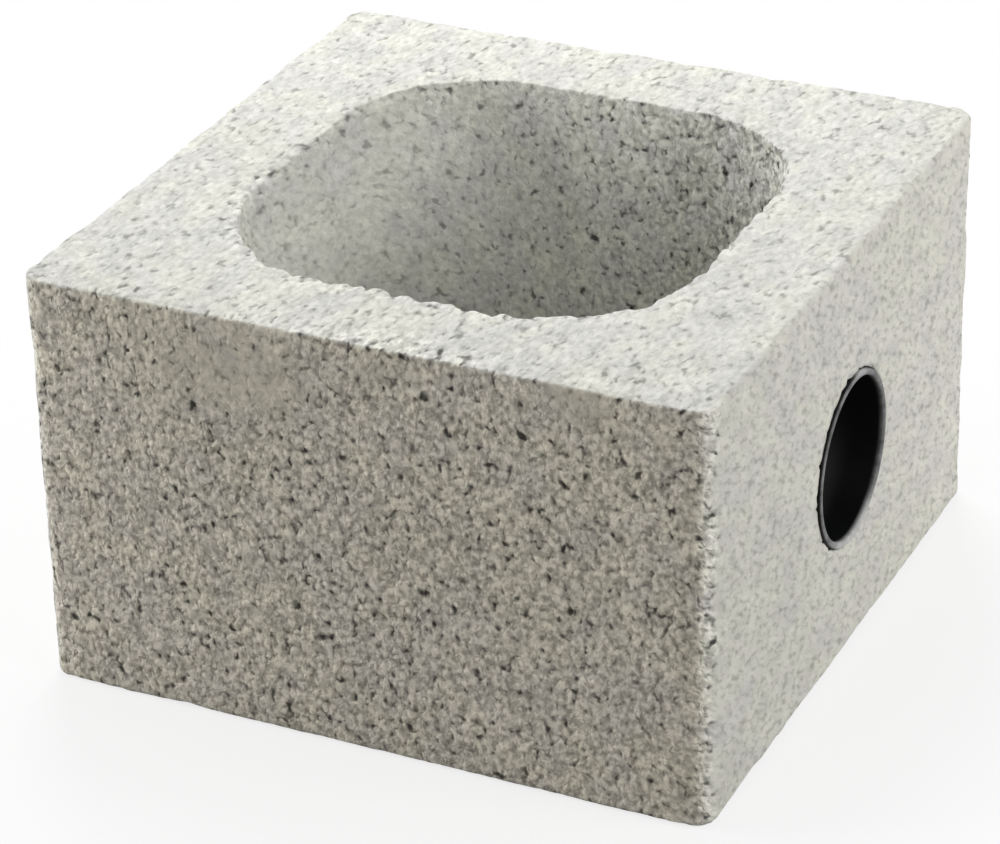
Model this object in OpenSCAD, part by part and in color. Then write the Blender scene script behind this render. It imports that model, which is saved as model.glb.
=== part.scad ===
// Hollow plinth block for the foot of a chimney or flue stack: cast lightweight concrete, open
// through from bed to bed, with a plastic duct sleeve set in a flared hole through one side wall.
// The bottom bed lies on Z = 0, the block is centred on X and Y, and the sleeve faces +X.

/* [Block] */
// Length of the block along X
block_length = 400; // [360:5:480]
// Width of the block along Y
block_width = 400; // [360:5:480]
// Height of the block from bed to bed
block_height = 250; // [200:5:330]
// Radius of the four upright corners
corner_radius = 12; // [8:1:24]
// Radius of the arrises round both beds
arris_radius = 4; // [2:0.5:7]

/* [Flue opening] */
// Thickness of the walls round the opening
wall = 62; // [50:1:75]
// Radius of the opening's upright corners
opening_corner_radius = 86; // [50:1:100]
// Radius that eases the rim of the opening at the top bed
rim_radius = 4; // [2:0.5:8]

/* [Duct sleeve] */
// Outside diameter of the sleeve
sleeve_diameter = 102; // [75:1:125]
// Thickness of the sleeve's wall
sleeve_wall = 4; // [3.25:0.25:6]
// Radius that rounds both edges of the sleeve's outer lip
lip_radius = 1.5; // [0.5:0.1:1.6]
// How far the sleeve stands out of the side face
sleeve_proud = 1.5; // [0:0.5:5]
// Height of the sleeve's axis above the bottom bed
sleeve_height = 121; // [90:1:130]
// Sideways shift of the sleeve's axis from the middle of the wall
sleeve_shift = 4.5; // [-15:0.5:15]

/* [Duct hole] */
// Radial clearance between the sleeve and the hole in the wall
hole_clearance = 0.3; // [0.1:0.05:0.6]
// How far the flared mouth stands back from the hole all round
mouth_flare = 2.2; // [1:0.1:5]
// Depth of the flared mouth
mouth_depth = 7; // [3:0.5:15]

/* [Hidden] */
$fn = 96;
// Overlap that lets a cut run clear of the face it leaves through
overcut = 1;
opening_length = block_length - 2 * wall;
opening_width = block_width - 2 * wall;
sleeve_length = wall + sleeve_proud;
hole_radius = sleeve_diameter / 2 + hole_clearance;
mouth_radius = hole_radius + mouth_flare;
// How far the flare's cone widens in the overcut outside the side face
mouth_overcut = mouth_flare * overcut / mouth_depth;

// Places its children at the four corners of a centred rectangle, each turned to point outwards
module at_corners(length, width) {
    for (turn = [0 : 90 : 270]) {
        across = turn % 180 == 0 ? length : width;
        along = turn % 180 == 0 ? width : length;
        rotate([0, 0, turn])
            translate([across / 2, along / 2, 0])
                children();
    }
}

// Places its children with Z along the duct axis, starting at the inner face of the +X wall
module on_duct_axis() {
    translate([block_length / 2 - wall, sleeve_shift, sleeve_height])
        rotate([0, 90, 0])
            children();
}

// Centred rectangle with rounded corners
module rounded_rectangle(length, width, radius) {
    square([length - 2 * radius, width], center = true);
    square([length, width - 2 * radius], center = true);
    for (x = [-1, 1], y = [-1, 1])
        translate([x * (length / 2 - radius), y * (width / 2 - radius)])
            circle(r = radius);
}

// Upright corner post, turned so that its arrises run into those of the sides
module corner_post() {
    rotate_extrude()
        intersection() {
            translate([0, block_height / 2])
                rounded_rectangle(2 * corner_radius, block_height, arris_radius);
            square([corner_radius, block_height]);
        }
}

// Prism with rounded arrises, lying along X
module arrised_prism(length, width) {
    translate([-length / 2, 0, block_height / 2])
        rotate([90, 0, 90])
            linear_extrude(length)
                rounded_rectangle(width, block_height, arris_radius);
}

// Solid block with rounded upright corners and arrises
module block_form() {
    arrised_prism(block_length - 2 * corner_radius, block_width);
    rotate([0, 0, 90])
        arrised_prism(block_width - 2 * corner_radius, block_length);
    at_corners(block_length - 2 * corner_radius, block_width - 2 * corner_radius)
        corner_post();
}

// Section of what is cut away to ease the rim, outwards from the opening's wall
module rim_section() {
    difference() {
        translate([-overcut, -rim_radius])
            square([rim_radius + overcut, rim_radius + overcut]);
        translate([rim_radius, -rim_radius])
            circle(r = rim_radius);
    }
}

// Straight run of the eased rim, outwards along X
module rim_run(length) {
    translate([0, length / 2, 0])
        rotate([90, 0, 0])
            linear_extrude(length)
                rim_section();
}

// Eased rim that follows the opening round at the top bed
module rim_cut() {
    straight_length = opening_length - 2 * opening_corner_radius;
    straight_width = opening_width - 2 * opening_corner_radius;
    for (side = [0, 180])
        rotate([0, 0, side]) {
            translate([opening_length / 2, 0, 0])
                rim_run(straight_width);
            rotate([0, 0, 90])
                translate([opening_width / 2, 0, 0])
                    rim_run(straight_length);
        }
    at_corners(straight_length, straight_width)
        rotate_extrude(angle = 90)
            translate([opening_corner_radius, 0])
                rim_section();
}

// Flue opening through the block
module flue_opening() {
    translate([0, 0, -overcut])
        linear_extrude(block_height + 2 * overcut)
            rounded_rectangle(opening_length, opening_width, opening_corner_radius);
    translate([0, 0, block_height])
        rim_cut();
}

// Hole for the sleeve, with a mouth that flares at the side face
module duct_hole() {
    on_duct_axis() {
        translate([0, 0, -opening_corner_radius])
            cylinder(r = hole_radius, h = opening_corner_radius + wall + overcut);
        translate([0, 0, wall - mouth_depth])
            cylinder(r1 = hole_radius, r2 = mouth_radius + mouth_overcut, h = mouth_depth + overcut);
    }
}

// Section of the sleeve's wall, with its outer lip rounded
module sleeve_section() {
    inner_radius = sleeve_diameter / 2 - sleeve_wall;
    translate([inner_radius, 0]) {
        square([sleeve_wall, sleeve_length - lip_radius]);
        translate([lip_radius, 0])
            square([sleeve_wall - 2 * lip_radius, sleeve_length]);
        for (across = [lip_radius, sleeve_wall - lip_radius])
            translate([across, sleeve_length - lip_radius])
                circle(r = lip_radius);
    }
}

// Concrete block
module block() {
    color([0.72, 0.71, 0.68])
        difference() {
            block_form();
            flue_opening();
            duct_hole();
        }
}

// Dark plastic duct sleeve, flush with the opening's wall inside
module pipe_sleeve() {
    color([0.07, 0.07, 0.08])
        on_duct_axis()
            rotate_extrude()
                sleeve_section();
}

block();
pipe_sleeve();
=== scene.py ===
# Looks of a hollow plinth block: open-grained lightweight concrete with a dark plastic duct sleeve.
# The concrete is one closed mesh: rows of the wall's section are carried round the flue opening, and
# the duct's hole is let into the +X wall. Worn edges, chips and pits are in the mesh, and finer grain
# is in its material, together with painted shade in the pores and painted light and shade over the
# faces and in the opening. The front is the -Y face and the ends are the -X and +X faces. Lengths are
# in metres.

import math

import bpy
import numpy as np
from mathutils import Matrix, Vector, noise


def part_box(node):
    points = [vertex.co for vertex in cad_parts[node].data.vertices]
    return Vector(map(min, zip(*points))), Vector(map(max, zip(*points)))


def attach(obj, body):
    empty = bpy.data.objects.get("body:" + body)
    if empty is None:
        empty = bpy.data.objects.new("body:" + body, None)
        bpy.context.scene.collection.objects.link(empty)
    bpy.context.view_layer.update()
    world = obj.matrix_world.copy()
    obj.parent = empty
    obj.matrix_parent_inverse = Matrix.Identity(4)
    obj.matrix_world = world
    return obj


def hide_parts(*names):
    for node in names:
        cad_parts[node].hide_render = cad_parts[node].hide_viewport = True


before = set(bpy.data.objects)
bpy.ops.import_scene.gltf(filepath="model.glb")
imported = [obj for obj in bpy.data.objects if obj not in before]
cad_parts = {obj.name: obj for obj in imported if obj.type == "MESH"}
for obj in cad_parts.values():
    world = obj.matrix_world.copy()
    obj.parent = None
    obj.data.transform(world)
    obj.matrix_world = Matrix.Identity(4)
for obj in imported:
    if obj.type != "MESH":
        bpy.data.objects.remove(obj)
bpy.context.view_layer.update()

# The block and its sleeve as packed
BLOCK_LOW, BLOCK_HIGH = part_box("block")
SLEEVE_LOW, SLEEVE_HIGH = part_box("pipe_sleeve")
HALF_LENGTH, HALF_WIDTH, HEIGHT = BLOCK_HIGH
DUCT_Y = (SLEEVE_LOW.y + SLEEVE_HIGH.y) / 2
DUCT_Z = (SLEEVE_LOW.z + SLEEVE_HIGH.z) / 2
SLEEVE_RADIUS = (SLEEVE_HIGH.z - SLEEVE_LOW.z) / 2
SLEEVE_END = SLEEVE_HIGH.x

# Rounded rectangles seen from above: half length, half width and corner radius. The opening in the
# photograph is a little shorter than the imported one.
SIDE_LOOP = (HALF_LENGTH, HALF_WIDTH, 0.012)
OPENING_LOOP = (0.1335, 0.1368, 0.085)

# Radii of the edges round both beds, and the duct's hole with its flared mouth
TOP_ARRIS = 0.0018
BOTTOM_ARRIS = 0.004
TOP_RIM = 0.0012
BOTTOM_RIM = 0.0015
HOLE_CLEARANCE = 0.0003
MOUTH_FLARE = 0.0004
MOUTH_DEPTH = 0.007
HOLE_RADIUS = SLEEVE_RADIUS + HOLE_CLEARANCE
MOUTH_RADIUS = HOLE_RADIUS + MOUTH_FLARE

# Grid of the concrete's mesh: columns round the block, and rows along each part of the wall's section
COLUMNS = 528
SIDE_ROWS = 61
TOP_ROWS = 17
INNER_ROWS = 62
BOTTOM_ROWS = 9
EDGE_ROWS = 4
TUBE_ROWS = 14
FLARE_ROWS = 3

# Rings of grid points that turn the grid into the round hole: half the columns and half the rows of
# the first ring, which has as many points on both faces of the wall
OUTER_RING = (18, 14)
INNER_RING = (26, 6)
RING_COUNT = 12
RING_GAP = 0.0018

# Steps from the first corner of a four-sided face to all four
CORNER_COLUMNS = np.array([0, 1, 1, 0])
CORNER_ROWS = np.array([0, 0, 1, 1])

# Map of the mesh: each half of the grid in a band of its own, and the hole's tube in a third
MAP_EDGE = 0.004
MAP_WIDTH = 0.992
MAP_HALF_HEIGHT = 0.474
MAP_HALF_STEP = 0.482
MAP_TUBE_START = 0.968
MAP_TUBE_HEIGHT = 0.028

# Noise: how far one seed's field lies from the next, how cells are told apart by chance, and how deep
# clefts are on the whole
LUMP_OFFSET = np.array([17.3, 5.1, 9.7])
CELL_OFFSET = np.array([3.7, 11.9, 7.3])
CHANCE_SCALE = 31.7
CLEFT_MEAN = 0.5

# Smallest numbers to divide by
TINY_LENGTH = 1e-9
TINY_SHARE = 1e-6

# Faces of the concrete: how they blend, and the wavy line between the front or back and the ends
WALL_BLEND = 0.002
FRONT_STEP = (0.003, 0.017)
FRONT_WAVE = 0.006
FRONT_WAVE_SIZE = 0.030
FRONT_LEFT_WAY = (-0.45, -0.89)
FRONT_LEFT_STEP = (0.2, 0.8)

# Places that the photograph shows: the front smeared shut under its top arris and in one spot, and
# the front arris of the top bed broken, most near its middle
SMEAR_REACH = 0.022
SMEAR_SIZE = 0.050
SMEAR_STEP = (-0.05, 0.45)
SMEAR_SPOT_X = -0.068
SMEAR_SPOT_Z = 0.219
SMEAR_SPOT_LENGTH = 0.062
SMEAR_SPOT_HEIGHT = 0.030
BREAK_REACH = 0.020
BREAK_SHARE = 0.08
BREAK_MIDDLE_SHARE = 0.28
BREAK_MIDDLE_X = 0.012
BREAK_MIDDLE_REACH = 0.035

# How open the grain of each face is, from 0 for closed to 1 for open. It also sets how strongly
# pores and grains are painted dark, which is painted shade for light raking the front and back
BED_GRAIN = 0.55
RIM_GRAIN = 0.15
RIM_GRAIN_REACH = 0.012
END_GRAIN = 0.42
FRONT_GRAIN = 1.0
SMEARED_GRAIN = 0.42
FRONT_PATCH_GRAIN = 0.12
FRONT_PATCH_SIZE = 0.090
INNER_GRAIN = 0.74
INNER_GRAIN_SLOPE = 0.22
INNER_TOP_GRAIN = 0.10
INNER_TOP_REACH = 0.012
INNER_RIGHT_GRAIN = 0.12
INNER_RIGHT_STEP = (0.095, 0.120)

# How warm the colour of each face is, from 0 to about 1
END_WARMTH = 0.22
FRONT_WARMTH = 0.78
FRONT_WARMTH_STEP = (0.30, 0.95)
SMEARED_WARMTH = 0.3

# Painted light and shade: how much darker or paler each face is painted than the beds, for shade in
# the opening and on the front and back, and for light along the ends and at their foot
INNER_PAINTED_SHADE = 0.05
INNER_LOW_PAINTED_SHADE = 0.12
INNER_LOW_STEP = (0.02, 0.16)
BACK_WALL_PAINTED_LIGHT = 0.09
BACK_WALL_PAINTED_SHADE = 0.30
BACK_WALL_STEP = (-0.02, 0.10)
END_PAINTED_LIGHT_SLOPE = 0.09
END_FOOT_PAINTED_LIGHT = 0.05
END_FOOT_REACH = 0.07
FRONT_PAINTED_SHADE = 0.025
FRONT_MIDDLE_PAINTED_SHADE = 0.035
FRONT_MIDDLE_REACH = 0.09

# Unevenness as size, height and seed, and pits as spacing, radius, share of cells and seed
ROUGH_MEAN = 0.00035
ROUGH_LUMPS = ((0.055, 0.0004, 1), (0.016, 0.00035, 2), (0.007, 0.0003, 3))
ROUGH_CLOSED_SHARE = 0.35
ROUGH_OPEN_SHARE = 0.65
PITS = (0.012, 0.0036, 0.45, 4)
PIT_DEPTH = 0.0012
PIT_CLOSED_SHARE = 0.3
PIT_OPEN_SHARE = 0.7

# Worn edges: how far in each reaches and how deep it goes
EDGE_REACH = 0.010
ARRIS_DEPTH = 0.0014
TOP_ARRIS_REACH = 0.005
BOTTOM_ARRIS_REACH = 0.007
BOTTOM_ARRIS_SHARE = 0.45
UPRIGHT_REACH = 0.006
UPRIGHT_SKIN = 0.003
UPRIGHT_SHARE = 0.7
BREAK_DEPTH = 2.0
CRUMBLE_MEAN = 0.25
CRUMBLE_SIZE = 0.020
CRUMB_SIZE = 0.008
CRUMB_SHARE = 0.8
LOWER_RIM_DEPTH = 0.0012
LOWER_RIM_REACH = 0.006

# Chips: those of the rim as spacing, width, seed and depth, and those of the hole's mouth
RIM_REACH = 0.005
RIM_SHARE = 0.60
RIM_FRONT_LEFT_SHARE = 0.40
RIM_CLEFTS = ((0.018, 0.0036, 8, 0.0026), (0.010, 0.0028, 12, 0.0032))
MOUTH_REACH = 0.004
MOUTH_CHIP_SIZE = 0.006
MOUTH_CHIP_START = 0.15
MOUTH_CHIP_DEPTH = 0.0050

# Marks of the concrete's material, drawn out so that those on the ends and beds look as round as in
# the photograph, and pushed about so that none is regular
MARK_TURN = (math.radians(-26.7), 0, 0)
MARK_STRETCH = (1.0, 2.4, 1.08)
PUSH_REACH = 0.005
NOISE_MEAN = (0.5, 0.5, 0.5)

# Textures of the concrete: lumps a metre, then detail and roughness where they aren't the usual ones
GRAIN_SCALE = 280
GRAIN_SMOOTHNESS = 0.5
CLUMP_SCALE = 130
PUSH = (140,)
HOLLOW = (250, 1.0)
SPECK = (290, 1.5)
MOTTLE = (300, 2.0, 0.55)
SAND = (1000,)
BLOTCH = (105,)
PATCH = (50,)
CLOUD = (13, 3.0)

# Smooth steps of the concrete: where each starts and ends, then its values there if not 0 and 1
PORE_MIDDLE = (1.09, 1.38)
PORE_DIP = (0.98, 1.28)
WARM_PATCHES = (0.65, 0.95)
GRAIN_SHADES = (0.25, 0.80, 0.12, -0.12)
MOTTLE_SHADES = (0.33, 0.67, -0.27, 0.27)
SAND_SHADES = (0.28, 0.72, 0.96, 1.04)
BLOTCH_SHADES = (0.28, 0.72, 0.94, 1.06)
PATCH_SHADES = (0.28, 0.72, 0.95, 1.05)
SPECKS = (0.44, 0.80)
HOLLOWS = (0.48, 0.70)
SAND_ROUGHNESS = (0.2, 0.8, 0.88, 0.98)

# The same, by how open the grain is
GRAIN_SHARE = (0.35, 1.0, 0.06, 1.10)
SPECK_SHARE = (0.42, 0.55, 0.36, 0.19)
SPECK_END = (0.5, 0.95, 1.0, 0.0)
PORE_SHARE = (0.30, 0.80, 0.05, 0.91)
RELIEF_SHARE = (0.35, 1.0, 0.06, 1.0)

# Shares of the textures in the pores, the colour and the relief of the concrete
GRAIN_IN_PORES = 0.50
HOLLOW_IN_PORES = 1.15
CLUMP_IN_PORES = 0.22
PORE_MIDDLE_SHARE = 0.60
PORE_DIP_SHARE = 0.40
CLOUD_IN_WARMTH = 0.6
MOTTLE_RELIEF = 0.8
HOLLOW_RELIEF = -0.75
SAND_RELIEF = 0.10
COOL_CEMENT = (0.746, 0.741, 0.699, 1)
WARM_CEMENT = (0.746, 0.744, 0.670, 1)
FRONT_TINT = (1.0, 0.94, 0.86, 1)
CONCRETE_BUMP = {"Strength": 0.8, "Distance": 0.0012}
CONCRETE_SPECULAR = 0.2

# The sleeve's material: textures, and smooth steps along its axis, from its axis, up and across
CEMENT_SMEARS = (110, 4.0, 0.65)
SCUFF = (700, 3.0)
LIP_ALONG = (SLEEVE_END - 0.0038, SLEEVE_END - 0.0004)
LIP_INSIDE = (SLEEVE_RADIUS - 0.0007, SLEEVE_RADIUS - 0.0001, 1.0, 0.05)
LOW_CEMENT_UP = (-0.98 * SLEEVE_RADIUS, -0.60 * SLEEVE_RADIUS, 1.0, 0.0)
HIGH_CEMENT_UP = (0.84 * SLEEVE_RADIUS, 0.99 * SLEEVE_RADIUS)
HIGH_CEMENT_ACROSS = (-0.12 * SLEEVE_RADIUS, 0.20 * SLEEVE_RADIUS)
# Painted sheen inside the sleeve: its steps along the axis and up, with its strength
PAINTED_SHEEN_ALONG = (SLEEVE_END - 0.048, SLEEVE_END - 0.016, 0.12, 0.0)
PAINTED_SHEEN_UP = (-0.75 * SLEEVE_RADIUS, 0.15 * SLEEVE_RADIUS, 1.0, 0.0)
CEMENT_SMEAR_STEP = (0.30, 0.75, 0.18, 0.50)
SCUFF_ROUGHNESS = (0.3, 0.7, 0.38, 0.50)
CEMENT_SHARE = 0.62
DUST_AND_SHEEN_ROUGHNESS = 0.35
DARK_PLASTIC = (0.0022, 0.0024, 0.0028, 1)
CEMENT_DUST_AND_SHEEN = (0.61, 0.615, 0.605, 1)
PLASTIC_BUMP = {"Strength": 0.12, "Distance": 0.0003}
PLASTIC_SPECULAR = 0.10

# Floor and sky: what lights the block, what the camera sees, and where the floor fades to white
WHITE = (1, 1, 1, 1)
SHOWN_STRENGTH = 1.0
SKY_STRENGTH = 0.20
FLOOR_LIT = (0.48, 0.48, 0.48, 1)
FLOOR_SHOWN = (0.93, 0.93, 0.93, 1)
FLOOR_FADE = (0.22, 0.52, 0.76, 1.0)
FLOOR_HALF = 20.0

# Square lamps turned to the block: name, place, size and power in watts
SOFTBOXES = (
    ("back_softbox", (-0.5, 0.9, 1.25), 0.9, 15.4),
    ("right_softbox", (2.2, -0.05, 1.3), 1.4, 32.5),
    ("left_softbox", (-2.3, -0.8, 1.0), 1.4, 37.0),
)

# Camera at the photograph's viewing angle: degrees, metres, pixels, and millimetres for the sensor
CAMERA_AZIMUTH = 25.839
CAMERA_ELEVATION = 28.471
CAMERA_ROLL = 1.435
CAMERA_DISTANCE = 2.289
CAMERA_ASIDE = 0.01075
CAMERA_BELOW = -0.01853
FOCAL_PIXELS = 4027.8
IMAGE_WIDTH = 1000
SENSOR_WIDTH = 36.0


# Noise and curves

def smoothstep(low, high, values):
    """0 below low, 1 above high and a smooth rise between them."""
    share = np.clip((values - low) / (high - low), 0, 1)
    return share * share * (3 - 2 * share)


def near(distance, reach):
    """1 at no distance, falling off smoothly over about that reach."""
    return np.exp(-(distance / reach) ** 2)


def lumps(points, size, seed):
    """Noise from about -1 to 1 at each point, in lumps of about that size."""
    places = points / size + seed * LUMP_OFFSET
    return np.array([noise.noise(place) for place in places.tolist()])


def pits(points, spacing, radius, share, seed):
    """Round hollows from 0 to 1 deep, in that share of cells of about that spacing."""
    places = points / spacing + seed * CELL_OFFSET
    depth = np.zeros(len(points))
    for i, place in enumerate(places.tolist()):
        distances, centres = noise.voronoi(place)
        chance = noise.cell(centres[0] * CHANCE_SCALE) / 2 + 0.5
        if chance < share:
            depth[i] = max(0.0, 1 - (distances[0] * spacing / radius) ** 2)
    return depth


def clefts(points, spacing, width, seed):
    """Narrow clefts from 0 to 1 deep, between lumps of about that spacing."""
    places = points / spacing + seed * CELL_OFFSET
    depth = np.zeros(len(points))
    for i, place in enumerate(places.tolist()):
        distances = noise.voronoi(place)[0]
        from_cleft = (distances[1] - distances[0]) * spacing / 2
        if from_cleft < width:
            depth[i] = (1 - from_cleft / width) * (CLEFT_MEAN + noise.noise(place))
    return np.clip(depth, 0, 1)


def full_turn(count):
    """Angles of that many points spaced round a circle."""
    return np.arange(count) * 2 * math.pi / count


# The concrete's mesh

def rounded_loop(half_length, half_width, radius):
    """Points and outward normals round a rounded rectangle, from the middle of its front side.
    Every half side has as many points, so that the points of two loops pair up."""
    turn = np.arange(COLUMNS) * 8 / COLUMNS
    quarter = (turn // 2).astype(int)
    lengthwise = quarter % 2 == 0
    along = np.where(lengthwise, half_length, half_width) - radius
    across = np.where(lengthwise, half_width, half_length) - radius
    arc = radius * math.pi / 2
    half_turn = turn - 2 * quarter
    first, second = along + arc / 2, across + arc / 2
    run = np.where(half_turn < 1, half_turn * first, first + (half_turn - 1) * second)
    angle = np.clip((run - along) / radius, 0, math.pi / 2)
    normal_x, normal_y = np.sin(angle), -np.cos(angle)
    x = np.minimum(run, along) + radius * normal_x
    y = np.maximum(run - along - arc, 0) - across + radius * normal_y
    cosine = np.array([1, 0, -1, 0])[quarter]
    sine = np.array([0, 1, 0, -1])[quarter]

    def turned(px, py):
        return np.column_stack([px * cosine - py * sine, px * sine + py * cosine])

    return turned(x, y), turned(normal_x, normal_y)


def edge_steps(radius):
    """How far each row of a rounded edge lies in from the wall and down from the bed, going up."""
    angles = np.linspace(0, math.pi / 2, EDGE_ROWS + 2)[1:-1]
    return [(radius * (1 - math.cos(a)), radius * (1 - math.sin(a))) for a in angles]


def section_rows():
    """Rows of points round the block: up the side, over the top bed, down the opening and back
    under. Also the number of the row that the opening's wall starts with."""
    side, side_normal = rounded_loop(*SIDE_LOOP)
    inner, inner_normal = rounded_loop(*OPENING_LOOP)
    rows = []

    def carry(points, z):
        rows.append(np.column_stack([points, np.full(COLUMNS, z)]))

    for z in np.linspace(BOTTOM_ARRIS, HEIGHT - TOP_ARRIS, SIDE_ROWS):
        carry(side, z)
    for inset, drop in edge_steps(TOP_ARRIS):
        carry(side - side_normal * inset, HEIGHT - drop)
    bed_start, bed_end = side - side_normal * TOP_ARRIS, inner + inner_normal * TOP_RIM
    for turn in np.linspace(0, math.pi, TOP_ROWS):
        carry(bed_start + (bed_end - bed_start) * (1 - math.cos(turn)) / 2, HEIGHT)
    for inset, drop in reversed(edge_steps(TOP_RIM)):
        carry(inner + inner_normal * inset, HEIGHT - drop)
    inner_start = len(rows)
    for z in np.linspace(HEIGHT - TOP_RIM, BOTTOM_RIM, INNER_ROWS):
        carry(inner, z)
    for inset, drop in edge_steps(BOTTOM_RIM):
        carry(inner + inner_normal * inset, drop)
    base_start, base_end = inner + inner_normal * BOTTOM_RIM, side - side_normal * BOTTOM_ARRIS
    for share in np.linspace(0, 1, BOTTOM_ROWS):
        carry(base_start + (base_end - base_start) * share, 0)
    for inset, drop in reversed(edge_steps(BOTTOM_ARRIS)):
        carry(side - side_normal * inset, drop)
    return np.array(rows), inner_start


def hole_centres(grid, inner_start):
    """Row and column of the grid points nearest to the duct's axis, on the +X wall's outer face and
    on its inner one."""
    side_rise = (DUCT_Z - BOTTOM_ARRIS) / (HEIGHT - TOP_ARRIS - BOTTOM_ARRIS)
    inner_drop = (HEIGHT - TOP_RIM - DUCT_Z) / (HEIGHT - TOP_RIM - BOTTOM_RIM)
    side_row = round(side_rise * (SIDE_ROWS - 1))
    inner_row = inner_start + round(inner_drop * (INNER_ROWS - 1))
    from_axis = np.abs(grid[:, : COLUMNS // 2, 1] - DUCT_Y)
    return [(row, int(np.argmin(from_axis[row]))) for row in (side_row, inner_row)]


def ring_steps(half_columns, half_rows):
    """Steps from a grid point to those of the rectangle round it, anticlockwise from its +column
    side."""
    a, b = half_columns, half_rows
    return np.array(
        [(a, j) for j in range(0, b)]
        + [(i, b) for i in range(a, -a, -1)]
        + [(-a, j) for j in range(b, -b, -1)]
        + [(i, -b) for i in range(-a, a)]
        + [(a, j) for j in range(-b, 0)]
    )


def round_the_grid(grid, centre, upwards, first_ring, radius):
    """Moves the rings of grid points round a hole so that they run from its circle out to the grid.
    Returns the rows and columns of the circle's points."""
    circle = None
    for n in range(RING_COUNT + 1):
        steps = ring_steps(first_ring[0] + n, first_ring[1] + n)
        rows, columns = centre[0] + upwards * steps[:, 1], centre[1] + steps[:, 0]
        if circle is None:
            circle = rows, columns
        angle = full_turn(len(steps))
        reach = radius + n * RING_GAP
        ring = np.column_stack([DUCT_Y + reach * np.cos(angle), DUCT_Z + reach * np.sin(angle)])
        share = smoothstep(0, RING_COUNT, np.float64(n))
        grid[rows, columns, 1:] = ring + (grid[rows, columns, 1:] - ring) * share
    return circle


def bend_to_opening(grid, centre):
    """Puts the moved points inside the opening back on its +X wall, round corners included."""
    half_columns, half_rows = (half + RING_COUNT for half in INNER_RING)
    rows = slice(centre[0] - half_rows, centre[0] + half_rows + 1)
    columns = slice(centre[1] - half_columns, centre[1] + half_columns + 1)
    half_length, half_width, radius = OPENING_LOOP
    past_flat = np.maximum(np.abs(grid[rows, columns, 1]) - (half_width - radius), 0)
    grid[rows, columns, 0] = half_length - radius + np.sqrt(radius**2 - past_flat**2)


def tube_rings(inner_x):
    """Rings of points down the duct's hole, flared at its mouth, to just before those inner ends."""
    angle = full_turn(len(inner_x))
    flare_end = HALF_LENGTH - MOUTH_DEPTH
    rings = []

    def carry(x, radius):
        y, z = DUCT_Y + radius * np.cos(angle), DUCT_Z + radius * np.sin(angle)
        rings.append(np.column_stack([x, y, z]))

    for share in np.linspace(0, 1, FLARE_ROWS + 1)[1:]:
        x = np.full(len(angle), HALF_LENGTH - share * MOUTH_DEPTH)
        carry(x, MOUTH_RADIUS + (HOLE_RADIUS - MOUTH_RADIUS) * share)
    for share in np.linspace(0, 1, TUBE_ROWS + 2)[1:-1]:
        carry(flare_end + (inner_x - flare_end) * share, HOLE_RADIUS)
    return np.array(rings)


def faces_between(rows):
    """Four-sided faces between rows of point numbers, closed round the columns."""
    right = np.roll(rows, -1, axis=1)
    return np.stack([rows[:-1], right[:-1], right[1:], rows[1:]], axis=2)


def concrete_shape():
    """Points, four-sided faces and map places of the block, with the duct's hole, before it is
    worn."""
    grid, inner_start = section_rows()
    gaps = np.linalg.norm(np.roll(grid, -1, axis=0) - grid, axis=2).mean(axis=1)
    section_run = np.concatenate([[0], np.cumsum(gaps)]) / gaps.sum()
    centres = hole_centres(grid, inner_start)
    side_circle = round_the_grid(grid, centres[0], 1, OUTER_RING, MOUTH_RADIUS)
    inner_circle = round_the_grid(grid, centres[1], -1, INNER_RING, HOLE_RADIUS)
    bend_to_opening(grid, centres[1])

    # Faces between the rows, without those inside the two circles
    index = np.arange(len(grid) * COLUMNS).reshape(len(grid), COLUMNS)
    kept = np.ones(index.shape, bool)
    for (row, column), (half_columns, half_rows) in zip(centres, (OUTER_RING, INNER_RING)):
        columns = slice(column - half_columns, column + half_columns)
        kept[row - half_rows : row + half_rows, columns] = False
    grid_faces = faces_between(np.concatenate([index, index[:1]]))[kept]

    # Map of the grid: the right half of the loop below the left half
    cell_rows, cell_columns = np.nonzero(kept)
    half_loop = COLUMNS // 2
    left_half, columns = np.divmod(cell_columns[:, None], half_loop)
    u = MAP_EDGE + MAP_WIDTH * (columns + CORNER_COLUMNS) / half_loop
    v = MAP_EDGE + MAP_HALF_HEIGHT * section_run[cell_rows[:, None] + CORNER_ROWS]
    grid_places = np.stack([u, v + MAP_HALF_STEP * left_half], axis=2)

    # Tube of the hole between the two circles, and its map
    rings = tube_rings(grid[inner_circle][:, 0])
    ring_count, ring_size = rings.shape[:2]
    ring_index = index.size + np.arange(ring_count * ring_size).reshape(ring_count, ring_size)
    tube = np.concatenate([[index[side_circle]], ring_index, [index[inner_circle]]])
    tube_faces = faces_between(tube).reshape(-1, 4)
    rows, columns = np.divmod(np.arange(len(tube_faces))[:, None], ring_size)
    u = MAP_EDGE + MAP_WIDTH * ((columns + CORNER_COLUMNS) / ring_size)
    v = MAP_TUBE_START + MAP_TUBE_HEIGHT * ((rows + CORNER_ROWS) / (len(tube) - 1))
    tube_places = np.stack([u, v], axis=2)

    points = np.concatenate([grid.reshape(-1, 3), rings.reshape(-1, 3)])
    faces = np.concatenate([grid_faces, tube_faces])
    used, renumbered = np.unique(faces, return_inverse=True)
    return points[used], renumbered.reshape(-1, 4), np.concatenate([grid_places, tube_places])


def past_corners(points, half_length, half_width, radius):
    """How far each point lies past the straight runs of a rounded rectangle, along X and along Y."""
    return np.abs(points[:, :2]) - (np.array([half_length, half_width]) - radius)


def from_loop(points, half_length, half_width, radius):
    """Distance of each point from a rounded rectangle seen from above, negative inside it, and the
    way out of it."""
    past = past_corners(points, half_length, half_width, radius)
    corner = np.maximum(past, 0)
    reach = np.linalg.norm(corner, axis=1)
    way = np.sign(points[:, :2]) * corner / np.maximum(reach, TINY_LENGTH)[:, None]
    distance = reach + np.minimum(past.max(axis=1), 0) - radius
    return distance, np.column_stack([way, np.zeros(len(points))])


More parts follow.
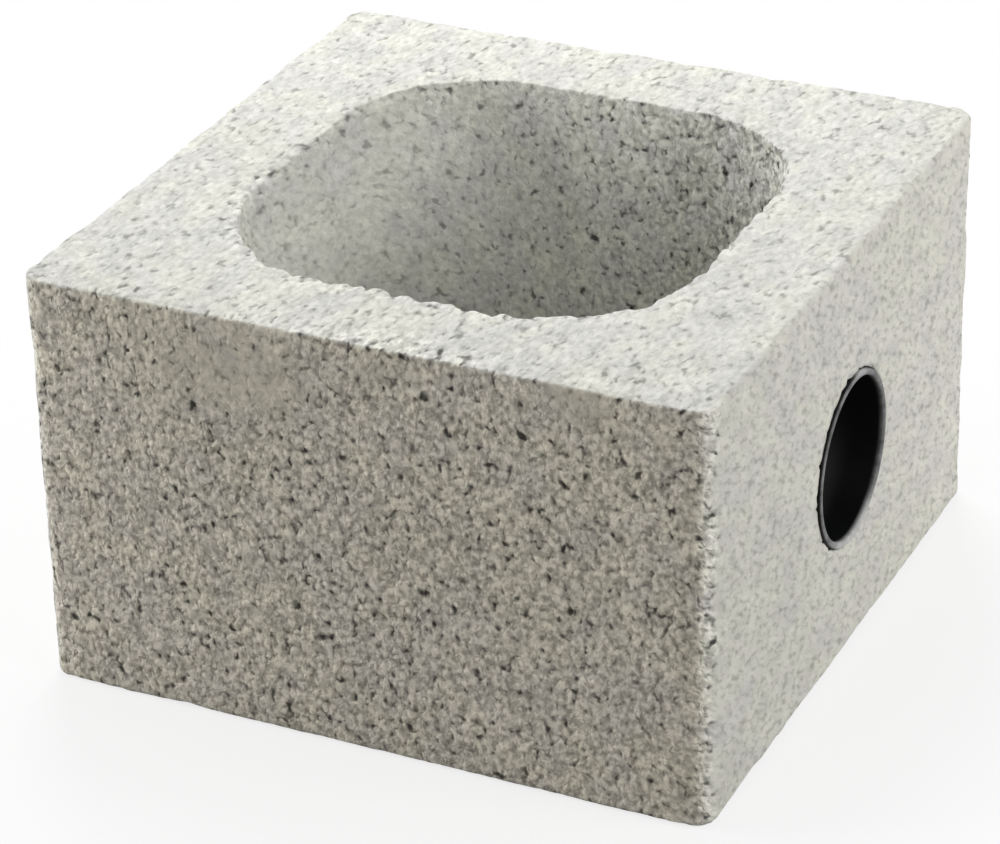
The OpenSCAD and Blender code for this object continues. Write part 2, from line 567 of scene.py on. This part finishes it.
class Surface:
    """Points of the concrete: how far each lies from the edges, on which face, and how it is worn."""

    def __init__(self, points, normals):
        self.points = points
        self.x, self.y, self.z = points.T
        self.from_top = HEIGHT - self.z
        past_side, self.side_way = from_loop(points, *SIDE_LOOP)
        self.from_side = -past_side
        self.from_opening, self.opening_way = from_loop(points, *OPENING_LOOP)

        # Share of each point that belongs to a bed, the opening's wall, the front or back, or an end
        self.along_x, self.along_y, self.bed = (normals**2).T
        in_opening = smoothstep(-WALL_BLEND, WALL_BLEND, self.from_side - self.from_opening)
        self.inner = in_opening * (1 - self.bed)
        self.sides = (1 - in_opening) * (1 - self.bed)
        from_front = HALF_WIDTH - np.abs(self.y) + FRONT_WAVE * self.lumps(FRONT_WAVE_SIZE, seed=13)
        self.front = self.sides * (1 - smoothstep(*FRONT_STEP, from_front))
        self.ends = self.sides - self.front

        # Share that was smeared shut, that lies to the front left, and that is broken
        smeared = smoothstep(*SMEAR_STEP, self.lumps(SMEAR_SIZE, seed=10))
        smeared *= near(self.from_top, SMEAR_REACH)
        spot_x = (self.x - SMEAR_SPOT_X) / SMEAR_SPOT_LENGTH
        spot_z = (self.z - SMEAR_SPOT_Z) / SMEAR_SPOT_HEIGHT
        self.smeared = np.maximum(smeared, near(np.hypot(spot_x, spot_z), 1.0) * (self.y < 0))
        facing = self.x * FRONT_LEFT_WAY[0] + self.y * FRONT_LEFT_WAY[1]
        facing = facing / np.maximum(np.hypot(self.x, self.y), TINY_SHARE)
        self.front_left = smoothstep(*FRONT_LEFT_STEP, facing)
        broken = BREAK_SHARE + BREAK_MIDDLE_SHARE * near(self.x - BREAK_MIDDLE_X, BREAK_MIDDLE_REACH)
        self.broken = near(HALF_WIDTH + self.y, BREAK_REACH) * broken
        self.open_grain_and_pore_shade = self.find_open_grain_and_pore_shade()

    def lumps(self, size, seed):
        """Noise at the points, in lumps of about that size."""
        return lumps(self.points, size, seed)

    def find_open_grain_and_pore_shade(self):
        """How open the grain is, which sets how deep the pits go and how strongly pores and grains are
        painted dark: most on the front and back, where that painted shade stands in for raking light,
        and towards the right of the opening, less on the ends.
        """
        inner = INNER_GRAIN + INNER_GRAIN_SLOPE * self.x / OPENING_LOOP[0]
        inner += INNER_TOP_GRAIN * near(self.from_top, INNER_TOP_REACH)
        inner += INNER_RIGHT_GRAIN * smoothstep(*INNER_RIGHT_STEP, self.x)
        front = FRONT_GRAIN - SMEARED_GRAIN * self.smeared
        front += FRONT_PATCH_GRAIN * np.minimum(self.lumps(FRONT_PATCH_SIZE, seed=11), 0)
        bed = BED_GRAIN + RIM_GRAIN * near(self.from_opening, RIM_GRAIN_REACH) * self.front_left
        bed += self.broken
        return self.bed * bed + self.inner * inner + (self.front * front + self.ends * END_GRAIN)

    def warmth(self):
        """How warm the colour is: most on the front and back, and where they were smeared."""
        turned_y = self.along_y / np.maximum(self.along_x + self.along_y, TINY_SHARE)
        warmth = self.sides * (END_WARMTH + FRONT_WARMTH * smoothstep(*FRONT_WARMTH_STEP, turned_y))
        return warmth + SMEARED_WARMTH * self.front * self.smeared

    def tone(self):
        """Painted light and shade as a factor on the colour: 1 on the beds, less on the front and back
        and in most of the opening, more painted shade deeper in it and towards its back right, paler on
        the back wall's left, and changing along the ends, paler towards the back and at the foot."""
        back_wall = self.along_y * (self.y > 0)
        low = smoothstep(*INNER_LOW_STEP, self.from_top)
        right = smoothstep(*BACK_WALL_STEP, self.x)
        shade = (1 - back_wall) * (INNER_PAINTED_SHADE + INNER_LOW_PAINTED_SHADE * low)
        shade += back_wall * (BACK_WALL_PAINTED_SHADE * right - BACK_WALL_PAINTED_LIGHT)
        tone = 1.0 - self.inner * shade + END_PAINTED_LIGHT_SLOPE * self.ends * self.y / HALF_WIDTH
        tone -= self.front * (FRONT_PAINTED_SHADE + FRONT_MIDDLE_PAINTED_SHADE * near(self.x, FRONT_MIDDLE_REACH))
        return tone + END_FOOT_PAINTED_LIGHT * self.ends * near(self.z, END_FOOT_REACH)

    def depth(self):
        """How deep each point is worn."""
        # Unevenness and pits all over, deeper where the grain is open
        rough = np.full(len(self.points), ROUGH_MEAN)
        for size, height, seed in ROUGH_LUMPS:
            rough += height * self.lumps(size, seed)
        depth = np.maximum(rough, 0) * (ROUGH_CLOSED_SHARE + ROUGH_OPEN_SHARE * self.open_grain_and_pore_shade)
        pit_share = PIT_CLOSED_SHARE + PIT_OPEN_SHARE * self.open_grain_and_pore_shade
        depth += PIT_DEPTH * pits(self.points, *PITS) * pit_share

        # Wavy, crumbled arrises and upright corners
        arris = near(self.from_side + self.from_top, TOP_ARRIS_REACH)
        arris += BOTTOM_ARRIS_SHARE * near(self.from_side + self.z, BOTTOM_ARRIS_REACH)
        from_corner = np.maximum(-past_corners(self.points, *SIDE_LOOP).min(axis=1), 0)
        upright = near(from_corner, UPRIGHT_REACH) * near(self.from_side, UPRIGHT_SKIN)
        crumble = np.maximum(CRUMBLE_MEAN + self.lumps(CRUMBLE_SIZE, seed=5), 0)
        crumble += CRUMB_SHARE * np.maximum(self.lumps(CRUMB_SIZE, seed=6), 0)
        edge = np.minimum(arris + UPRIGHT_SHARE * upright, 1.0)
        depth += ARRIS_DEPTH * edge * crumble * (1 + BREAK_DEPTH * self.broken)

        # Chipped rim of the opening, most along its front left, and its crumbled lower rim
        rim = near(self.from_opening + self.from_top, RIM_REACH)
        rim *= RIM_SHARE + RIM_FRONT_LEFT_SHARE * self.front_left
        for spacing, width, seed, cleft_depth in RIM_CLEFTS:
            depth += rim * clefts(self.points, spacing, width, seed) * cleft_depth
        depth += LOWER_RIM_DEPTH * near(self.from_opening + self.z, LOWER_RIM_REACH) * crumble

        # Jagged mouth round the sleeve
        from_mouth = np.abs(np.hypot(self.y - DUCT_Y, self.z - DUCT_Z) - MOUTH_RADIUS)
        mouth = near(from_mouth + np.abs(HALF_LENGTH - self.x), MOUTH_REACH)
        bits = np.maximum(self.lumps(MOUTH_CHIP_SIZE, seed=9) - MOUTH_CHIP_START, 0)
        return depth + mouth * bits * MOUTH_CHIP_DEPTH

    def ways_out(self):
        """The way out of the concrete at each point, turned gently across its edges so that worn rows
        don't cross."""
        hole_way = self.points * (0, 1, 1) - (0, DUCT_Y, DUCT_Z)
        hole_reach = np.linalg.norm(hole_way, axis=1)
        at_hole = near(hole_reach - HOLE_RADIUS, EDGE_REACH) * (self.x > 0)
        ways = near(self.from_side, EDGE_REACH)[:, None] * self.side_way
        ways -= near(self.from_opening, EDGE_REACH)[:, None] * self.opening_way
        ways -= (at_hole / hole_reach)[:, None] * hole_way
        ways[:, 2] += near(self.from_top, EDGE_REACH) - near(self.z, EDGE_REACH)
        return ways / np.linalg.norm(ways, axis=1)[:, None]

    def worn(self):
        """The points after wear, kept between the beds."""
        worn = self.points - self.ways_out() * self.depth()[:, None]
        worn[:, 2] = np.clip(worn[:, 2], 0, HEIGHT)
        return worn


def make_concrete():
    """The block's piece: a worn closed mesh that stands for the CAD block."""
    points, faces, places = concrete_shape()
    mesh = bpy.data.meshes.new("concrete_block")
    mesh.from_pydata(points.tolist(), [], faces.tolist())
    mesh.update()
    normals = np.empty(len(points) * 3, np.float32)
    mesh.vertex_normals.foreach_get("vector", normals)
    surface = Surface(points, normals.reshape(-1, 3).astype(float))
    mesh.vertices.foreach_set("co", surface.worn().astype(np.float32).ravel())
    looks = {"open_grain_and_pore_shade": surface.open_grain_and_pore_shade, "warm": surface.warmth(), "tone": surface.tone()}
    for name, values in looks.items():
        attribute = mesh.attributes.new(name, "FLOAT", "POINT")
        attribute.data.foreach_set("value", values.astype(np.float32))
    mesh.uv_layers.new(name="OFBake").uv.foreach_set("vector", places.astype(np.float32).ravel())
    mesh.polygons.foreach_set("use_smooth", np.ones(len(faces), bool))
    mesh.update()
    mesh.materials.append(concrete_material())
    block = bpy.data.objects.new("concrete_block", mesh)
    bpy.context.scene.collection.objects.link(block)
    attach(block, "root")
    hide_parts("block")


# Materials

class Shader:
    """A material's or world's node tree, with short ways to add nodes to it."""

    # Sockets of the Mix node that carry colours
    MIX_COLOURS = slice(6, 8)
    MIX_RESULT = 2

    def __init__(self, owner):
        owner.use_nodes = True
        self.tree = owner.node_tree
        self.tree.nodes.clear()

    def add(self, kind, inputs=None, **settings):
        """A node of that kind, with values or other nodes' outputs on its inputs."""
        node = self.tree.nodes.new("ShaderNode" + kind)
        for name, value in settings.items():
            setattr(node, name, value)
        for name, value in (inputs or {}).items():
            self.feed(node.inputs[name], value)
        return node

    def feed(self, socket, value):
        """Links an output to the socket, or sets the value on it."""
        if isinstance(value, bpy.types.NodeSocket):
            self.tree.links.new(value, socket)
        else:
            socket.default_value = value

    def attribute(self, name):
        """A number that the mesh carries."""
        return self.add("Attribute", attribute_name=name).outputs["Fac"]

    def math(self, operation, *values):
        """The result of one sum on numbers and outputs."""
        return self.add("Math", dict(enumerate(values)), operation=operation).outputs[0]

    def rise(self, value, low, high, to_low=0.0, to_high=1.0):
        """A smooth step of an output from one value to another."""
        inputs = {
            "Value": value,
            "From Min": low,
            "From Max": high,
            "To Min": to_low,
            "To Max": to_high,
        }
        return self.add("MapRange", inputs, interpolation_type="SMOOTHSTEP").outputs["Result"]

    def mix(self, share, first, second, blend="MIX"):
        """Two colours mixed by a share."""
        node = self.add("Mix", {"Factor": share}, data_type="RGBA", blend_type=blend)
        for socket, value in zip(node.inputs[self.MIX_COLOURS], (first, second)):
            self.feed(socket, value)
        return node.outputs[self.MIX_RESULT]

    def noise(self, place, scale, detail=2.0, roughness=0.5, output="Fac"):
        """Soft noise from 0 to 1, with that many lumps a metre."""
        inputs = {"Vector": place, "Scale": scale, "Detail": detail, "Roughness": roughness}
        return self.add("TexNoise", inputs).outputs[output]

    def cells(self, place, scale):
        """Distance from the nearest of that many grains a metre."""
        return self.add("TexVoronoi", {"Vector": place, "Scale": scale}).outputs["Distance"]

    def soft_cells(self, place, scale, smoothness):
        """The same, smoothed where two grains are as near."""
        inputs = {"Vector": place, "Scale": scale, "Smoothness": smoothness}
        return self.add("TexVoronoi", inputs, feature="SMOOTH_F1").outputs["Distance"]

    def show(self, surface):
        """Ends the tree in that shader."""
        in_material = isinstance(self.tree.id_data, bpy.types.Material)
        self.add("OutputMaterial" if in_material else "OutputWorld", {"Surface": surface})

    def cover(self, colour, roughness, specular, relief, bump):
        """Ends the tree in a surface of that colour, roughness, gloss and relief."""
        inputs = {
            "Base Color": colour,
            "Roughness": roughness,
            "Specular IOR Level": specular,
            "Normal": self.add("Bump", {"Height": relief, **bump}).outputs["Normal"],
        }
        self.show(self.add("BsdfPrincipled", inputs).outputs["BSDF"])


def concrete_material():
    """Pale concrete of packed grains, with pores between them painted dark where the grain is open:
    painted shade in the pores.
    """
    material = bpy.data.materials.new("open_grained_concrete")
    s = Shader(material)
    place = s.add("TexCoord").outputs["Object"]
    drawn_out = {"Vector": place, "Rotation": MARK_TURN, "Scale": MARK_STRETCH}
    place = s.add("Mapping", drawn_out, vector_type="TEXTURE").outputs["Vector"]
    open_grain_and_pore_shade = s.attribute("open_grain_and_pore_shade")

    # Grains and hollows, at places pushed about so that none is regular
    push = s.noise(place, *PUSH, output="Color")
    push = s.add("VectorMath", {0: push, 1: NOISE_MEAN}, operation="SUBTRACT").outputs[0]
    push = s.add("VectorMath", {0: push, "Scale": PUSH_REACH}, operation="SCALE").outputs[0]
    pushed = s.add("VectorMath", {0: place, 1: push}, operation="ADD").outputs[0]
    grain = s.soft_cells(pushed, GRAIN_SCALE, GRAIN_SMOOTHNESS)
    clump = s.cells(pushed, CLUMP_SCALE)
    hollow = s.noise(pushed, *HOLLOW)
    mottle = s.noise(place, *MOTTLE)
    sand = s.noise(place, *SAND)
    patch = s.noise(place, *PATCH)

    # Pores where no grain is near: a soft dip round a dark middle, painted shade in the pores
    room = s.math("MULTIPLY", grain, GRAIN_IN_PORES)
    room = s.math("MULTIPLY_ADD", hollow, HOLLOW_IN_PORES, room)
    room = s.math("MULTIPLY_ADD", clump, CLUMP_IN_PORES, room)
    painted_pore_shade = s.math("MULTIPLY", s.rise(room, *PORE_MIDDLE), PORE_MIDDLE_SHARE)
    painted_pore_shade = s.math("MULTIPLY_ADD", s.rise(room, *PORE_DIP), PORE_DIP_SHARE, painted_pore_shade)

    # Colour: warm and cool patches, warmer over all on the front and back
    warmth = s.math("MULTIPLY_ADD", s.noise(place, *CLOUD), CLOUD_IN_WARMTH, patch)
    colour = s.mix(s.rise(warmth, *WARM_PATCHES), COOL_CEMENT, WARM_CEMENT)
    colour = s.mix(s.attribute("warm"), colour, s.mix(1.0, colour, FRONT_TINT, "MULTIPLY"))

    # Shade: paler and darker grains, partly painted shading of their relief where the grain is open, on
    #     # the mesh's painted light and shade; then specks where the face is closed and pores painted
    #     dark
    #     # where it is open, which is painted shade in the pores
    grains = s.math("ADD", s.rise(grain, *GRAIN_SHADES), s.rise(mottle, *MOTTLE_SHADES))
    shade = s.math("MULTIPLY_ADD", grains, s.rise(open_grain_and_pore_shade, *GRAIN_SHARE), s.attribute("tone"))
    blotch = s.noise(place, *BLOTCH)
    for field, shades in ((sand, SAND_SHADES), (blotch, BLOTCH_SHADES), (patch, PATCH_SHADES)):
        shade = s.math("MULTIPLY", shade, s.rise(field, *shades))
    speck = s.rise(s.noise(place, *SPECK), *SPECKS)
    closed = s.math("MULTIPLY", s.rise(open_grain_and_pore_shade, *SPECK_SHARE), s.rise(open_grain_and_pore_shade, *SPECK_END))
    for field, share in ((speck, closed), (painted_pore_shade, s.rise(open_grain_and_pore_shade, *PORE_SHARE))):
        left = s.math("SUBTRACT", 1.0, s.math("MULTIPLY", field, share))
        shade = s.math("MULTIPLY", shade, left)
    colour = s.mix(1.0, colour, shade, "MULTIPLY")

    # Relief: grains and hollows where the face is open, and sand all over
    relief = s.math("MULTIPLY", mottle, MOTTLE_RELIEF)
    relief = s.math("MULTIPLY_ADD", s.rise(hollow, *HOLLOWS), HOLLOW_RELIEF, relief)
    relief = s.math("MULTIPLY", relief, s.rise(open_grain_and_pore_shade, *RELIEF_SHARE))
    relief = s.math("MULTIPLY_ADD", sand, SAND_RELIEF, relief)
    s.cover(colour, s.rise(sand, *SAND_ROUGHNESS), CONCRETE_SPECULAR, relief, CONCRETE_BUMP)
    return material


def sleeve_material():
    """Dark moulded plastic, greyed by cement on its lip, most at the bottom, with a painted sheen low
    down inside towards its inner end.
    """
    material = bpy.data.materials.new("dusty_dark_plastic")
    s = Shader(material)
    place = s.add("TexCoord").outputs["Object"]
    axis = s.add("SeparateXYZ", {"Vector": place}).outputs
    scuff = s.noise(place, *SCUFF)
    across = s.math("SUBTRACT", axis["Y"], DUCT_Y)
    up = s.math("SUBTRACT", axis["Z"], DUCT_Z)
    radius = s.math("SQRT", s.math("MULTIPLY_ADD", across, across, s.math("MULTIPLY", up, up)))

    # Cement on the lip and just inside it, most at the bottom and the top, and on the outer side only
    # at the top
    lip = s.rise(axis["X"], *LIP_ALONG)
    low = s.rise(up, *LOW_CEMENT_UP)
    high = s.math("MULTIPLY", s.rise(up, *HIGH_CEMENT_UP), s.rise(across, *HIGH_CEMENT_ACROSS))
    smears = s.rise(s.noise(place, *CEMENT_SMEARS), *CEMENT_SMEAR_STEP)
    cement = s.math("MULTIPLY_ADD", s.math("MAXIMUM", low, high), CEMENT_SHARE, smears)
    inside = s.math("MAXIMUM", s.rise(radius, *LIP_INSIDE), high)
    dust_and_sheen = s.math("MULTIPLY", s.math("MULTIPLY", lip, inside), cement)

    # Painted sheen towards the inner end, low down: pale colour for light reflected in the dark plastic
    painted_sheen = s.math("MULTIPLY", s.rise(axis["X"], *PAINTED_SHEEN_ALONG), s.rise(up, *PAINTED_SHEEN_UP))
    dust_and_sheen = s.math("ADD", dust_and_sheen, painted_sheen)
    colour = s.mix(dust_and_sheen, DARK_PLASTIC, CEMENT_DUST_AND_SHEEN)
    roughness = s.math("MULTIPLY_ADD", dust_and_sheen, DUST_AND_SHEEN_ROUGHNESS, s.rise(scuff, *SCUFF_ROUGHNESS))
    s.cover(colour, roughness, PLASTIC_SPECULAR, scuff, PLASTIC_BUMP)
    return material


# Stage, lights and camera

def show_white(shader, lit, shown):
    """Ends the tree in one shader that lights the block and another for rays that show the background
    itself: from the camera, or by way of gloss or glass."""
    path = shader.add("LightPath").outputs
    share = shader.math("MAXIMUM", path["Is Camera Ray"], path["Is Glossy Ray"])
    share = shader.math("MAXIMUM", share, path["Is Transmission Ray"])
    inputs = {0: share, 1: lit.outputs[0], 2: shown.outputs[0]}
    shader.show(shader.add("MixShader", inputs).outputs[0])


def make_floor():
    """A wide pale floor that shows white and keeps the block's shadow."""
    material = bpy.data.materials.new("pale_floor")
    s = Shader(material)
    place = s.add("TexCoord").outputs["Object"]
    distance = s.add("VectorMath", {0: place}, operation="LENGTH").outputs["Value"]
    lit = s.add("BsdfDiffuse", {"Color": FLOOR_LIT})
    shown = s.add("BsdfDiffuse", {"Color": FLOOR_SHOWN})
    white = s.add("Emission", {"Color": WHITE, "Strength": SHOWN_STRENGTH})
    fade = {0: s.rise(distance, *FLOOR_FADE), 1: shown.outputs[0], 2: white.outputs[0]}
    show_white(s, lit, s.add("MixShader", fade))
    mesh = bpy.data.meshes.new("floor")
    corners = ((-1, -1), (1, -1), (1, 1), (-1, 1))
    mesh.from_pydata([(x * FLOOR_HALF, y * FLOOR_HALF, 0) for x, y in corners], [], [(0, 1, 2, 3)])
    mesh.materials.append(material)
    floor = bpy.data.objects.new("floor", mesh)
    bpy.context.scene.collection.objects.link(floor)


def make_world():
    """A dim even sky that shows white behind the object."""
    world = bpy.data.worlds.new("studio")
    s = Shader(world)
    sky = s.add("Background", {"Color": WHITE, "Strength": SKY_STRENGTH})
    white = s.add("Background", {"Color": WHITE, "Strength": SHOWN_STRENGTH})
    show_white(s, sky, white)
    bpy.context.scene.world = world


def make_softbox(name, place, aim, size, power):
    """A square lamp of that size, turned to its aim."""
    lamp = bpy.data.lights.new(name, "AREA")
    lamp.shape = "SQUARE"
    lamp.size = size
    lamp.energy = power
    box = bpy.data.objects.new(name, lamp)
    box.location = place
    box.rotation_euler = (Vector(aim) - Vector(place)).to_track_quat("-Z", "Y").to_euler()
    bpy.context.scene.collection.objects.link(box)


def make_camera(centre):
    """The camera at the photograph's viewing angle."""
    azimuth, elevation, roll = map(math.radians, (CAMERA_AZIMUTH, CAMERA_ELEVATION, CAMERA_ROLL))
    level = math.cos(elevation)
    back = Vector((math.sin(azimuth) * level, -math.cos(azimuth) * level, math.sin(elevation)))
    level_right = (-back).cross(Vector((0, 0, 1))).normalized()
    level_down = (-back).cross(level_right)
    right = level_right * math.cos(roll) + level_down * math.sin(roll)
    down = level_down * math.cos(roll) - level_right * math.sin(roll)
    place = centre + back * CAMERA_DISTANCE - right * CAMERA_ASIDE - down * CAMERA_BELOW
    turn = Matrix((right, -down, back)).transposed().to_4x4()
    lens = bpy.data.cameras.new("camera")
    lens.sensor_fit = "HORIZONTAL"
    lens.sensor_width = SENSOR_WIDTH
    lens.lens = FOCAL_PIXELS / IMAGE_WIDTH * SENSOR_WIDTH
    camera = bpy.data.objects.new("camera", lens)
    camera.matrix_world = Matrix.Translation(place) @ turn
    bpy.context.scene.collection.objects.link(camera)
    bpy.context.scene.camera = camera


bpy.context.scene.view_settings.view_transform = "Standard"
block_centre = (BLOCK_LOW + BLOCK_HIGH) / 2
make_camera(block_centre)
make_world()
make_floor()
for name, place, size, power in SOFTBOXES:
    make_softbox(name, place, block_centre, size, power)
make_concrete()
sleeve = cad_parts["pipe_sleeve"]
sleeve.data.materials.clear()
sleeve.data.materials.append(sleeve_material())
